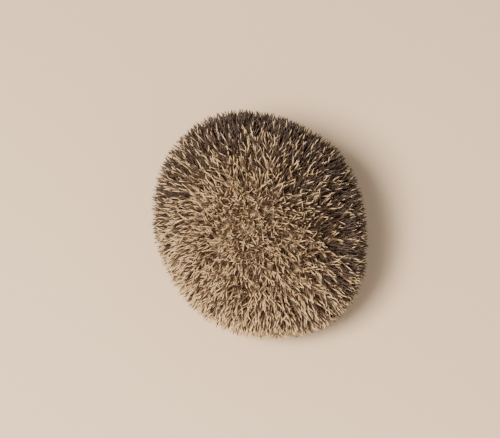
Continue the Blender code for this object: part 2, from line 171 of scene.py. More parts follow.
# ---- Paws, as in the solids, given for the left side
Paw = namedtuple("Paw", "place half_size spread turn toe_length")
PAWS = (Paw((0.0136, -0.0325, 0.0028), (0.0060, 0.0078), math.radians(52), math.radians(-6), 0.0080),
        Paw((0.0165, 0.0165, 0.0028), (0.0054, 0.0125), math.radians(46), math.radians(-8), 0.0092))
TOES = 5
TOE_ROOTS = (0.75, 0.62)  # where they start, of the paw's half size
TOE_DROP = 0.0006  # from the paw's middle down to the toes
OUTER_TOES_SHORTER = 0.22
CLAW_LENGTH, CLAW_RADIUS = 0.0044, 0.00060
CLAW_START, CLAW_CURVE = 0.92, -0.34  # along the toe, and the bend down to the tip

# ---- The skin: its lowest level under the rim, and the hollows of the underside, each an ellipsoid's
# middle and radii and how softly its edge is rounded
RIM_Z, RIM_SOFTNESS = 0.0030, 0.004
HOLLOWS = (((0, 0.001, -0.001), (0.0345, 0.0400, 0.0175), 0.006),  # under the belly
           ((0, -0.0660, 0.003), (0.0200, 0.0230, 0.0260), 0.004),  # in front of the face
           ((0, -0.0425, 0.018), (0.0285, 0.0175, 0.0270), 0.004))  # round the head

# ---- The parts that come out of the mantle: their solids, how far the skin lies inside these, since
# they go out to the tips of the fur, and how softly the part joins the body
LEGS = ("foreleg_left", "foreleg_right", "hindleg_left", "hindleg_right")
PARTS = {"head": (("head",), 0.0010, 0.004),
         "limbs": (LEGS, 0.0004, 0.002),
         "tail": (("tail",), 0.0003, 0.002),
         "ears": (("ear_left", "ear_right"), 0.0001, 0.001)}
NECK_SOFTNESS = 0.002

# ---- How far from a part's surface, and from the mantle's, the skin starts and ends to count as another
PART_EDGE, MANTLE_EDGE, MANTLE_LOWEST = (0.0004, 0.0016), (0.0006, 0.0014), 0.0055

# ---- The lines of the grid on which the skin is worked out, for each axis: places and the spacing there
GRID = (((-0.074, 0.0026), (-0.036, 0.0013), (-0.022, 0.0007), (-0.016, 0.0005),
         (0.015, 0.0005), (0.021, 0.0007), (0.035, 0.0013), (0.074, 0.0026)),
        ((-0.084, 0.0024), (-0.061, 0.0007), (-0.058, 0.0005), (-0.040, 0.0005),
         (-0.034, 0.0010), (0.036, 0.0010), (0.084, 0.0028)),
        ((-0.004, 0.0006), (0.002, 0.0006), (0.032, 0.0006), (0.042, 0.0011),
         (0.060, 0.0028), (0.104, 0.0032)))

# ---- Shades of the coat, from 0, dark brown, to 1, cream
BELLY_SHADE, BELLY_DRIFT, FACE_SHADE, FACE_DRIFT = 0.62, 0.16, 0.66, 0.10
PART_SHADES = {"limbs": 0.20, "tail": 0.24, "ears": 0.22, "mantle": 0.26}
PALEST = 0.85
MASK_DARKER, MASK_FADES, MASK_LOWEST = 0.50, (0.010, 0.018), -0.0035  # round the muzzle, over the mouth
EYE_DARKER, EYE_MARK_FADES = 0.46, (0.0010, 0.0050)  # round the eyes, from the slit

# ---- How bare the skin is, and where bare skin turns into fur: up from the floor on the soles, back from
# the nose tip, and away from the slit of the eyes
TAIL_BARE, EARS_BARE, MANTLE_BARE = 0.75, 0.7, 0.1
SOLE_EDGE, NOSE_EDGE, EYE_EDGE = (0.0010, 0.0022), (0.0008, 0.0022), (0.0003, 0.0008)

# ---- The studio: azimuths go round from the animal's head, angles are in degrees, power in watts
TARGET = (0, 0, 0.05)
CAMERA_PLACE = (-27, 68, 1.3)  # azimuth, elevation, distance
CAMERA_LENS, CAMERA_SENSOR = 141.8, 36  # millimetres
CAMERA_SHIFT = (-0.0216, 0.0090)
FLOOR_REACH = 3
FLOOR_COLOUR = (0.86, 0.64, 0.44, 1)
Lamp = namedtuple("Lamp", "name azimuth elevation size power colour")
LAMPS = (Lamp("key", -74, 62, 0.5, 50, (1.0, 0.92, 0.80)),
         Lamp("fill", -20, 40, 1.6, 8, (1.0, 0.97, 0.93)))
LAMP_DISTANCE = 1.6
SKY_COLOUR, SKY_STRENGTH = (1.0, 0.97, 0.93, 1), 0.32


# ---------------------------------------------------------------- small helpers

def unit(vectors, guard=0.0):
    """Rows of an array brought to length 1. A guard keeps rows of no length from dividing by 0."""
    return vectors / (np.linalg.norm(vectors, axis=1, keepdims=True) + guard)


def smooth_step(value, low, high):
    t = np.clip((value - low) / (high - low), 0, 1)
    return t * t * (3 - 2 * t)


def smooth_min(a, b, k):
    """The lesser of two distances, with the crease between them rounded over k."""
    h = np.clip(0.5 + 0.5 * (b - a) / k, 0, 1)
    return b + (a - b) * h - k * h * (1 - h)


def smooth_max(a, b, k):
    return -smooth_min(-a, -b, k)


def drift(points, scale, seed):
    """Three smooth random numbers at each point, about -1 to 1, that change over a length of about scale."""
    source = np.random.default_rng(seed)
    total = np.zeros((len(points), 3))
    for _ in range(7):
        wave = source.normal(size=(3, 3)) / scale * 1.6
        total += np.sin(points @ wave + source.uniform(0, 6.28, 3))
    return total / 2.6


def normals_of(function, points, step=0.0004):
    """Ways in which a function of x, y and z grows fastest."""
    grads = []
    for axis in range(3):
        shift = np.zeros(3)
        shift[axis] = step
        grads.append(function(*(points + shift).T) - function(*(points - shift).T))
    return unit(np.stack(grads, 1))


# ---------------------------------------------------------------- the ball's shape

def outline(angle):
    """How far the ball reaches from its upright middle line, at its widest level."""
    lobes = sum(share * np.cos(count * (angle - first)) for count, share, first in LOBES)
    return (1 + lobes) / np.hypot(np.cos(angle) / HALF_WIDTH, np.sin(angle) / HALF_LENGTH)


def middle_of_outline():
    angles = np.linspace(0, TURN, 49)
    x, y = outline(angles) * np.cos(angles), outline(angles) * np.sin(angles)
    return np.array([(x.max() + x.min()) / 2, (y.max() + y.min()) / 2, 0])


MIDDLE = middle_of_outline()


def ball_reach(x, y, z):
    """How far out a point is: 1 on the surface of the spine tips. Also gives an estimated distance to it."""
    x, y = x + MIDDLE[0], y + MIDDLE[1]
    girth = outline(np.arctan2(y, x))
    across = np.hypot(x, y) / girth
    half = np.where(z > GIRTH_Z, HEIGHT - GIRTH_Z, HALF_BELOW)
    rise = (z - GIRTH_Z) / half
    reach = np.sqrt(across ** 2 + rise ** 2)
    slope = np.sqrt((across / girth) ** 2 + (rise / half) ** 2) / np.maximum(reach, 1e-3)
    return reach, (reach - 1) / np.maximum(slope, 1e-3)


def mantle_skin(x, y, z):
    """Estimated distance to the skin under the spines."""
    depth = COAT_DEPTH_RIM + (COAT_DEPTH - COAT_DEPTH_RIM) * smooth_step(z, *COAT_DEEPENS)
    return ball_reach(x, y, z)[1] + depth


def face_arch(points):
    """Below 1 in the gap over the face, where no spines grow."""
    reach = np.hypot(points[:, 0] / ARCH_HALF_WIDTH, (points[:, 2] - ARCH_FOOT_Z) / ARCH_HEIGHT)
    return reach + (points[:, 1] > ARCH_REAR) * 10


def head_plane(y, z):
    """Back and up in the head's axes, from two of the frame's."""
    return y * HEAD_COS + z * HEAD_SIN, z * HEAD_COS - y * HEAD_SIN


def frame_plane(back, up):
    """The second and third of the frame's axes, from back and up in the head's."""
    return back * HEAD_COS - up * HEAD_SIN, back * HEAD_SIN + up * HEAD_COS


def in_head(x, y, z):
    """A point in the head's axes."""
    return x - NOSE_TIP.x + MIDDLE[0], *head_plane(y - NOSE_TIP.y + MIDDLE[1], z - NOSE_TIP.z)


def from_head(direction):
    """A direction in the head's axes, turned into the frame's."""
    turned = np.array([direction[0], *frame_plane(*direction[1:])])
    return turned / np.linalg.norm(turned)


def middle_of(node):
    low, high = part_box(node)
    return (np.array(low) + np.array(high)) / 2


# ---------------------------------------------------------------- meshes

def placed(name, data):
    """A new object in the scene."""
    thing = bpy.data.objects.new(name, data)
    bpy.context.scene.collection.objects.link(thing)
    return thing


def new_piece(name, points, faces, material):
    """A mesh from points and a list of arrays of faces, each array with faces of one length."""
    mesh = bpy.data.meshes.new(name)
    sizes = np.concatenate([np.full(len(f), f.shape[1], np.int32) for f in faces])
    mesh.vertices.add(len(points))
    mesh.vertices.foreach_set("co", np.asarray(points, np.float32).ravel())
    mesh.loops.add(int(sizes.sum()))
    mesh.loops.foreach_set("vertex_index", np.concatenate([f.ravel() for f in faces]).astype(np.int32))
    mesh.polygons.add(len(sizes))
    mesh.polygons.foreach_set("loop_start", np.concatenate([[0], np.cumsum(sizes)[:-1]]).astype(np.int32))
    mesh.polygons.foreach_set("loop_total", sizes)
    mesh.update(calc_edges=True)
    mesh.validate()
    mesh.shade_smooth()
    mesh.materials.append(material)
    return placed(name, mesh)


def ring_quads(rings, sides, looped=False):
    """Faces between rings of points that each close on themselves. In a loop the last joins the first."""
    i = np.arange(sides)
    j = (i + 1) % sides
    pairs = [(r * sides, (r + 1) % rings * sides) for r in range(rings if looped else rings - 1)]
    return np.concatenate([np.stack([a + i, a + j, b + j, b + i], 1) for a, b in pairs])


def give(thing, name, values):
    """Puts a number or a vector on each point of a mesh."""
    kind = "FLOAT" if values.ndim == 1 else "FLOAT_VECTOR"
    layer = thing.data.attributes.new(name, kind, "POINT")
    layer.data.foreach_set("value" if kind == "FLOAT" else "vector", values.astype(np.float32).ravel())


def unwrap(points):
    """Where a point of the skin lies on the map."""
    x, y, z = (points + MIDDLE).T
    angle = np.arctan2(y, x)
    tilt = np.arctan2(np.hypot(x, y) / outline(angle), (z - GIRTH_Z) / MAP_HALF_HEIGHT)
    radius = MAP_RADIUS * np.sin(tilt / 2)
    return np.stack([0.5 + radius * np.cos(angle), 0.5 + radius * np.sin(angle)], 1)


def add_map(thing, point_uv):
    layer = thing.data.uv_layers.new(name="OFBake")
    corner = np.empty(len(thing.data.loops), np.int32)
    thing.data.loops.foreach_get("vertex_index", corner)
    layer.data.foreach_set("uv", point_uv[corner].astype(np.float32).ravel())


def strands(name, roots, headings, lengths, radii, bends, material, sides, profile, patch=LONG_PATCH,
            **traits):
    """Joined tapered strands, each a closed tube that ends in a point. Traits are numbers, one a strand."""
    along, width = np.array(profile).T
    count, rings = len(roots), len(profile)
    aside = unit(np.cross(headings, np.where(np.abs(headings[:, 2:]) < 0.9, [[0, 0, 1.0]], [[1.0, 0, 0]])))
    across = np.cross(headings, aside)
    turns = np.arange(sides) * TURN / sides
    circle = (aside[:, None, None] * np.cos(turns)[None, None, :, None]
              + across[:, None, None] * np.sin(turns)[None, None, :, None])
    reach = along[None, :, None] * lengths[:, None, None]
    line = roots[:, None] + headings[:, None] * reach + bends[:, None] * (reach * along[None, :, None])
    tube = line[:, :, None] + circle * (radii[:, None] * width[None])[:, :, None, None]
    tip = roots + (headings + bends) * lengths[:, None]
    points = np.concatenate([tube.reshape(count, -1, 3), tip[:, None]], 1)

    each = rings * sides + 1
    i = np.arange(sides)
    last_ring = (rings - 1) * sides
    tips = np.stack([last_ring + i, last_ring + (i + 1) % sides, np.full(sides, each - 1)], 1)
    cap = i[::-1][None]
    start = (np.arange(count) * each)[:, None, None]
    faces = [(f[None] + start).reshape(-1, f.shape[1]) for f in (ring_quads(rings, sides), tips, cap)]

    thing = new_piece(name, points.reshape(-1, 3), faces, material)
    per_point = np.concatenate([np.repeat(along, sides), [1.0]])
    give(thing, "along", np.tile(per_point, count))
    give(thing, "tone", np.repeat(rng.uniform(0, 1, count), each))
    give(thing, "root", np.repeat(roots, each, 0))
    for trait, values in traits.items():
        give(thing, trait, np.repeat(values, each))
    around = np.concatenate([np.tile(i / sides, rings), [0.5]])
    place = np.stack([around * patch[0], per_point * patch[1]], 1) - np.array(patch) / 2
    add_map(thing, (unwrap(roots)[:, None] + place[None]).reshape(-1, 2))
    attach(thing, "root")
    return thing


def ring_piece(name, middle, line, radius, material, sides=8):
    """A closed tube round a loop of points, given from a middle that it goes round."""
    onward = unit(np.roll(line, -1, 0) - np.roll(line, 1, 0))
    outward = unit(line)
    aside = np.cross(onward, outward)
    angles = np.arange(sides) * TURN / sides
    tube = (line[:, None] + (outward[:, None] * np.cos(angles)[None, :, None]
                             + aside[:, None] * np.sin(angles)[None, :, None]) * radius)
    quads = ring_quads(len(line), sides, looped=True)
    piece = new_piece(name, middle + tube.reshape(-1, 3), [quads], material)
    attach(piece, "root")
    return piece


def round_piece(name, middle, radius, material, columns=40, rows=28):
    """A closed round mesh whose radius in each direction is given by a function."""
    turn = np.linspace(0, TURN, columns, endpoint=False)
    polar = (np.arange(rows) + 0.5) / rows * math.pi
    p, t = np.meshgrid(polar, turn, indexing="ij")
    ways = np.stack([np.sin(p) * np.cos(t), np.sin(p) * np.sin(t), np.cos(p)], -1).reshape(-1, 3)
    ways = np.concatenate([ways, [[0, 0, 1.0], [0, 0, -1.0]]])
    points = middle + ways * radius(ways)[:, None]
    i = np.arange(columns)
    j = (i + 1) % columns
    top, bottom, last_row = len(points) - 2, len(points) - 1, (rows - 1) * columns
    ends = np.concatenate([np.stack([np.full(columns, top), i, j], 1),
                           np.stack([np.full(columns, bottom), last_row + j, last_row + i], 1)])
    outward_quads = ring_quads(rows, columns)[:, [0, 3, 2, 1]]
    piece = new_piece(name, points, [outward_quads, ends], material)
    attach(piece, "root")
    return piece


# ---------------------------------------------------------------- materials

# Colours along a spine, from root to tip. Tone moves the bands of each spine a little.
PALE_SPINE = ((0.0, (0.44, 0.32, 0.20)), (0.16, (0.74, 0.57, 0.385)), (0.47, (0.74, 0.57, 0.385)),
              (0.56, (0.270, 0.188, 0.130)), (0.81, (0.240, 0.166, 0.112)), (0.89, (0.68, 0.50, 0.29)),
              (0.96, (0.86, 0.66, 0.41)), (1.0, (0.80, 0.61, 0.37)))
DARK_SPINE = ((0.0, (0.28, 0.20, 0.14)), (0.20, (0.44, 0.33, 0.23)), (0.38, (0.33, 0.24, 0.165)),
              (0.50, (0.088, 0.056, 0.043)), (1.0, (0.072, 0.045, 0.036)))
SPINE_TINTS = ((0.0, (0.60, 0.52, 0.46)), (0.3, (0.84, 0.78, 0.71)), (0.6, (1.0, 0.96, 0.88)),
               (1.0, (1.0, 1.0, 1.0)))
BAND_SHIFT = 0.13

# Colours of fur by its shade and of bare skin by its grain
FUR_SHADES = ((0.13, (0.040, 0.024, 0.015)), (0.42, (0.15, 0.095, 0.058)), (0.72, (0.42, 0.31, 0.20)),
              (0.95652174, (0.68, 0.57, 0.43)))
FLESH_SHADES = ((0.30, (0.135, 0.088, 0.073)), (0.70, (0.225, 0.150, 0.124)))
TUFT_LIGHT = ((0.0, (0.62, 0.60, 0.58)), (1.0, (1.12, 1.12, 1.12)))
COAT_GRAIN, GRAIN_DEPTH = 900, 0.0004  # grains in a metre, and how far they stand out


def new_material(name, roughness):
    material = bpy.data.materials.new(name)
    material.use_nodes = True
    shader = material.node_tree.nodes["Principled BSDF"]
    shader.inputs["Roughness"].default_value = roughness
    return material, material.node_tree, shader


def attribute(tree, name, output="Fac"):
    """A number or a vector that the mesh's points carry."""
    node = tree.nodes.new("ShaderNodeAttribute")
    node.attribute_name = name
    return node.outputs[output]


def ramp(tree, value, stops):
    """A colour for a value, by stops that are each a place and a colour."""
    node = tree.nodes.new("ShaderNodeValToRGB")
    while len(node.color_ramp.elements) < len(stops):
        node.color_ramp.elements.new(0.5)
    for element, (place, colour) in zip(node.color_ramp.elements, stops):
        element.position = place
        element.color = (*colour, 1)
    tree.links.new(value, node.inputs["Fac"])
    return node.outputs["Color"]


def weighted_sum(tree, value, weight, other):
    """A value times a weight, plus another value."""
    node = tree.nodes.new("ShaderNodeMath")
    node.operation = "MULTIPLY_ADD"
    tree.links.new(value, node.inputs[0])
    node.inputs[1].default_value = weight
    tree.links.new(other, node.inputs[2])
    return node.outputs[0]


def mixed(tree, first, second, share=None):
    """Two colours: mixed by the second's share, or multiplied where no share is given."""
    node = tree.nodes.new("ShaderNodeMix")
    node.data_type = "RGBA"
    if share is None:
        node.blend_type = "MULTIPLY"
        node.inputs["Factor"].default_value = 1.0
    else:
        tree.links.new(share, node.inputs["Factor"])
    tree.links.new(first, node.inputs["A"])
    tree.links.new(second, node.inputs["B"])
    return node.outputs["Result"]


def noise(tree, place, scale, detail):
    node = tree.nodes.new("ShaderNodeTexNoise")
    node.inputs["Scale"].default_value = scale
    node.inputs["Detail"].default_value = detail
    tree.links.new(place, node.inputs["Vector"])
    return node.outputs["Fac"]


def add_bump(tree, shader, height, depth):
    """Makes the surface stand out where height is great, by up to depth."""
    node = tree.nodes.new("ShaderNodeBump")
    node.inputs["Strength"].default_value = 0.5
    node.inputs["Distance"].default_value = depth
    tree.links.new(height, node.inputs["Height"])
    tree.links.new(node.outputs["Normal"], shader.inputs["Normal"])


def spine_material():
    material, tree, shader = new_material("spine_keratin", 0.42)
    place = weighted_sum(tree, attribute(tree, "tone"), BAND_SHIFT, attribute(tree, "along"))
    bands = mixed(tree, ramp(tree, place, PALE_SPINE), ramp(tree, place, DARK_SPINE),
                  attribute(tree, "dark"))
    tint = ramp(tree, attribute(tree, "glow"), SPINE_TINTS)
    tree.links.new(mixed(tree, bands, tint), shader.inputs["Base Color"])
    return material


def coat_colour(tree):
    """The markings that skin and fur share: shade is from dark brown to cream, bare from fur to skin."""
    grain = noise(tree, attribute(tree, "root", "Vector"), COAT_GRAIN, 3)
    fur = ramp(tree, weighted_sum(tree, grain, 0.30, attribute(tree, "shade")), FUR_SHADES)
    flesh = ramp(tree, grain, FLESH_SHADES)
    return mixed(tree, fur, flesh, attribute(tree, "bare")), grain


def skin_material():
    material, tree, shader = new_material("hedgehog_skin", 0.72)
    colour, grain = coat_colour(tree)
    tree.links.new(colour, shader.inputs["Base Color"])
    add_bump(tree, shader, grain, GRAIN_DEPTH)
    return material


def fur_material():
    """The shared markings, darker at the roots of the tufts and lighter at their tips."""
    material, tree, shader = new_material("hedgehog_fur", 0.75)
    colour, _ = coat_colour(tree)
    light = weighted_sum(tree, attribute(tree, "along"), 0.5, attribute(tree, "tone"))
    tree.links.new(mixed(tree, colour, ramp(tree, light, TUFT_LIGHT)), shader.inputs["Base Color"])
    return material


def horn_material(name, root, tip, roughness):
    """Claws and whiskers: one colour at the root, another at the tip."""
    material, tree, shader = new_material(name, roughness)
    colour = ramp(tree, attribute(tree, "along"), ((0.0, root), (1.0, tip)))
    tree.links.new(colour, shader.inputs["Base Color"])
    return material


def wet_material(name, dark, light, scale, roughness, bump_depth):
    """Near black with a fine grain. Without bumps it has a glossy coat."""
    material, tree, shader = new_material(name, roughness)
    place = tree.nodes.new("ShaderNodeTexCoord").outputs["Object"]
    grain = noise(tree, place, scale, 2)
    tree.links.new(ramp(tree, grain, ((0.4, dark), (0.6, light))), shader.inputs["Base Color"])
    if bump_depth:
        add_bump(tree, shader, grain, bump_depth)
    else:
        shader.inputs["Coat Weight"].default_value = 1.0
        shader.inputs["Coat Roughness"].default_value = 0.03
    return material


# ---------------------------------------------------------------- spines

def spine_roots():
    """Points spread evenly over the mantle's skin, a little out of step, from the top down to the rim."""
    found = []
    tilt, last = ROOT_TILTS
    mean_girth = np.mean(outline(np.linspace(0, TURN, 73)[:-1]) - COAT_DEPTH)
    while tilt < last:
        half = (HEIGHT - GIRTH_Z if tilt < math.pi / 2 else HALF_BELOW) - COAT_DEPTH
        count = max(int(TURN * mean_girth * math.sin(tilt) / SPINE_SPACING), 3)
        angles = (np.arange(count) + rng.uniform(0, 1)
                  + rng.uniform(-ROOT_STRAY, ROOT_STRAY, count)) / count * TURN
        step = SPINE_SPACING * ROW_SPACING / math.hypot(mean_girth * math.cos(tilt), half * math.sin(tilt))
        tilts = tilt + rng.uniform(-ROOT_STRAY, ROOT_STRAY, count) * step
        girth = outline(angles) - COAT_DEPTH
        found.append(np.stack([girth * np.sin(tilts) * np.cos(angles), girth * np.sin(tilts) * np.sin(angles),
                               GIRTH_Z + half * np.cos(tilts)], 1) - MIDDLE)
        tilt += step
    roots = np.concatenate(found)
    for _ in range(5):  # onto the skin
        roots -= normals_of(mantle_skin, roots) * mantle_skin(*roots.T)[:, None]
    return roots[roots[:, 2] > ROOT_LOWEST]


def dark_and_shade_share(points):
    """Share of the spines with dark tips: a few everywhere as the coat's own pattern, and many more on the
    animal's left and some over the rump as painted shade.
    """
    outward = unit(points - np.array([0, 0, GIRTH_Z]))
    side = outward @ SHADED_FLANK + drift(points, 0.020, 8)[:, 0] * 0.10
    # the first share is the coat's own pattern, the two side shares are painted shade
    everywhere, flank_shade, rim_shade = DARK_AND_SHADE_SHARES
    return (everywhere + flank_shade * smooth_step(side, *FLANK_SHADE_REACH)
            + rim_shade * smooth_step(outward @ HALF_SHADED_RIM, *RIM_SHADE_REACH))


def evenly_mixed(points, share, neighbours=10):
    """1 for dark spines and 0 for pale ones, mixed so that each share is kept among near neighbours."""
    tree = KDTree(len(points))
    for k, point in enumerate(points):
        tree.insert(point, k)
    tree.balance()
    dark = np.full(len(points), np.nan)
    for k in rng.permutation(len(points)):
        near = dark[[found[1] for found in tree.find_n(points[k], neighbours)]]
        owed = share[k] * (1 + np.isfinite(near).sum()) - np.nansum(near)
        dark[k] = float(owed + rng.uniform(-0.3, 0.3) > 0.5)
    return dark


def spine_headings(roots, normals, down):
    """The way each spine points: bristling over the back, laid down towards the rim."""
    low = 1 - smooth_step(roots[:, 2], *LAID_HEIGHTS)
    high = smooth_step(normals[:, 2], *BACK_SLOPES)
    lean = (drift(roots, 0.012, 3) * LEAN_DRIFT
            + rng.normal(0, LEAN_RANDOM, (len(roots), 3)) * (1 + 0.20 * high)[:, None])
    lean[:, 1] += roots[:, 1] / HALF_LENGTH * LEAN_TO_ENDS * high
    lean *= (1 - 0.45 * low)[:, None]
    lean += down * (low * LEAN_DOWN)[:, None]
    lean -= normals * (lean * normals).sum(1, keepdims=True)
    return unit(normals + lean)


def spine_lengths(roots, ways):
    """Lengths that bring the tips close to the ball's surface, and none of them into the floor."""
    target = TIP_REACH - np.abs(rng.normal(0, TIP_SHORTFALL, len(roots)))
    short, long = (np.full(len(roots), length) for length in SPINE_LENGTHS)
    for _ in range(18):
        lengths = (short + long) / 2
        tips = roots + ways * lengths[:, None]
        inside = (ball_reach(*tips.T)[0] < target) & (tips[:, 2] > TIP_LOWEST)
        short = np.where(inside, lengths, short)
        long = np.where(inside, long, lengths)
    return lengths


def make_spines(material):
    brow = spine_roots()
    brow = brow[(brow[:, 1] < BROW_REAR) & (brow[:, 2] < BROW_TOP)
                & (rng.uniform(0, 1, len(brow)) < BROW_SHARE)]
    roots = np.concatenate([spine_roots(), brow])
    roots = roots[face_arch(roots) > 1]
    count = len(roots)
    normals = normals_of(mantle_skin, roots)
    down = unit(np.array([0, 0, -1.0]) + normals * normals[:, 2:], 1e-9)
    sideways = np.cross(normals, down)
    headings = spine_headings(roots, normals, down)
    bends = (down * rng.normal(0.02, 0.05, count)[:, None] + sideways * rng.normal(0, 0.05, count)[:, None])
    lengths = spine_lengths(roots, headings + bends)
    radii = SPINE_RADIUS * rng.uniform(0.85, 1.12, count) * np.clip(lengths / 0.015, 0.6, 1)
    order = rng.permutation(count)
    # dark-tipped spines: the coat's own pattern everywhere, plus painted shade on the animal's left and over
    # the rump
    dark = evenly_mixed(roots, dark_and_shade_share(roots))
    glow = np.clip(rng.normal(0.5, 0.2, count) + drift(roots, 0.010, 12)[:, 0] * 0.12, 0, 1)
    starts = roots - normals * SPINE_SUNK
    for k in range(SPINE_PIECES):
        part = order[k::SPINE_PIECES]
        piece = strands(f"spines_{k + 1}", starts[part], headings[part], lengths[part], radii[part],
                        bends[part], material, SPINE_SIDES, SPINE_PROFILE, dark=dark[part], glow=glow[part])


# ---------------------------------------------------------------- the skin

def grid_line(stops):
    """Grid lines from the first stop to the last, each stop a place and the spacing there."""
    places, spacings = zip(*stops)
    line = [places[0]]
    while line[-1] < places[-1]:
        line.append(line[-1] + float(np.interp(line[-1], places, spacings)))
    return np.array(line)


def ellipsoid(x, y, z, middle, radii):
    """Estimated distance to an ellipsoid."""
    q = [(v - m) / r for v, m, r in zip((x, y, z), middle, radii)]
    length = np.sqrt(q[0] ** 2 + q[1] ** 2 + q[2] ** 2)
    slope = np.sqrt(sum((v / r) ** 2 for v, r in zip(q, radii))) / np.maximum(length, 1e-3)
    return (length - 1) / np.maximum(slope, 1e-3)


def node_distance(name, grid, reach=0.006, voxel=0.0005):
    """Signed distance to a node on a grid of lines, limited to reach."""
    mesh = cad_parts[name].data
    mesh.calc_loop_triangles()
    corners = np.empty(len(mesh.loop_triangles) * 3, np.int32)
    mesh.loop_triangles.foreach_get("vertices", corners)
    points = np.empty(len(mesh.vertices) * 3, np.float32)
    mesh.vertices.foreach_get("co", points)
    points = points.reshape(-1, 3)
    cells = vdb.FloatGrid.createLevelSetFromPolygons(
        points, triangles=corners.reshape(-1, 3).astype(np.uint32),
        transform=vdb.createLinearTransform(voxelSize=voxel), halfWidth=reach / voxel)
    low = np.floor(points.min(0) / voxel).astype(int) - int(reach / voxel) - 2
    high = np.ceil(points.max(0) / voxel).astype(int) + int(reach / voxel) + 2
    block = np.zeros(high - low, np.float32)
    cells.copyToArray(block, ijk=tuple(int(v) for v in low))
    total = np.full([len(line) for line in grid], reach, np.float32)
    spans, indices, shares = [], [], []
    for axis, line in enumerate(grid):
        at = line / voxel - low[axis]
        here = np.nonzero((at > 0) & (at < block.shape[axis] - 1.001))[0]
        spans.append(slice(here[0], here[-1] + 1))
        indices.append(at[here].astype(int))
        shares.append((at[here] % 1).astype(np.float32))
    value = 0
    for corner in np.ndindex(2, 2, 2):
        part = block[np.ix_(*(i + c for i, c in zip(indices, corner)))]
        for axis, c in enumerate(corner):
            shape = [1, 1, 1]
            shape[axis] = -1
            part = part * (shares[axis] if c else 1 - shares[axis]).reshape(shape)
        value = value + part
    total[tuple(spans)] = value
    return total


def between_lines(grid, values):
    """A function that reads values, given on a grid of lines, at any points."""
    def read(points):
        corners, shares = [], []
        for axis, line in enumerate(grid):
            index = np.clip(np.searchsorted(line, points[:, axis]) - 1, 0, len(line) - 2)
            corners.append(index)
            shares.append(np.clip((points[:, axis] - line[index]) / (line[index + 1] - line[index]), 0, 1))
        total = 0
        for step in np.ndindex(2, 2, 2):
            part = values[tuple(index + s for index, s in zip(corners, step))]
            for share, s in zip(shares, step):
                part = part * (share if s else 1 - share)
            total = total + part
        return total
    return read


def eye_frame(side):
    """Three directions at an eye: along the slit to its rear corner, over the eye, and out of it."""
    out = from_head((EYE_LOOK[0] * side, EYE_LOOK[1], EYE_LOOK[2]))
    rear = from_head((0, 1, 0.25))
    along = rear - out * (rear @ out)
    along /= np.linalg.norm(along)
    return along, np.cross(out, along) * side, out


def eye_axes(side, word, x, y, z):
    """Places in an eye's own axes."""
    gap = [v - e for v, e in zip((x, y, z), middle_of(f"eye_{word}"))]
    return [sum(g * d for g, d in zip(gap, axis)) for axis in eye_frame(side)]


def eye_slit(local):
    """Distance to the slit between the lids."""
    return ellipsoid(*local, (0, 0, SLIT_PLACE), SLIT_RADII)


def nearest_slit(points):
    return np.minimum(*[eye_slit(eye_axes(side, word, *points.T)) for side, word in SIDES])


def shape_face(head, x, y, z):
    """Adds the mouth line and the lids to the distance to the head."""
    _, back, up = in_head(x, y, z)
    lip = MOUTH_START - MOUTH_SLOPE * back - MOUTH_DROOP * smooth_step(back, *MOUTH_CORNERS)
    groove = np.exp(-((up - lip) / MOUTH_HALF_HEIGHT) ** 2) * (1 - smooth_step(back, *MOUTH_FADES))
    head = head + MOUTH_DEPTH * groove * smooth_step(back, -0.002, 0.001)
    for side, word in SIDES:
        local = eye_axes(side, word, x, y, z)
        far = np.sqrt(sum(v ** 2 for v in local))
        head = smooth_min(head, far - LID_RADIUS, LID_SOFTNESS)
        head = smooth_max(head, -eye_slit(local), SLIT_SOFTNESS)
        head = np.maximum(head, EYE_RADIUS + EYE_GAP - far)
    return head


def markings(points, regions):
    """Shade of the coat, from 0, dark brown, to 1, cream, and how bare the skin is."""
    _, back, up = in_head(*points.T)
    eyes = nearest_slit(points)
    shade = BELLY_SHADE + BELLY_DRIFT * drift(points, 0.014, 5)[:, 0]
    mask = (1 - smooth_step(back, *MASK_FADES)) * (up > MASK_LOWEST)
    face = FACE_SHADE + FACE_DRIFT * drift(points, 0.006, 6)[:, 0] - MASK_DARKER * mask
    face = face - EYE_DARKER * (1 - smooth_step(eyes, *EYE_MARK_FADES))
    shade = shade * (1 - regions["head"]) + face * regions["head"]
    for name, value in PART_SHADES.items():
        shade = shade * (1 - regions[name]) + value * regions[name]
    soles = regions["limbs"] * (1 - smooth_step(points[:, 2], *SOLE_EDGE))
    bare = np.clip(soles + TAIL_BARE * regions["tail"] + EARS_BARE * regions["ears"]
                   + MANTLE_BARE * regions["mantle"] + regions["head"] * (1 - smooth_step(back, *NOSE_EDGE))
                   + (1 - smooth_step(eyes, *EYE_EDGE)), 0, 1)
    return np.clip(shade, 0, PALEST), bare


Skin = namedtuple("Skin", "points quads normals regions shade height")


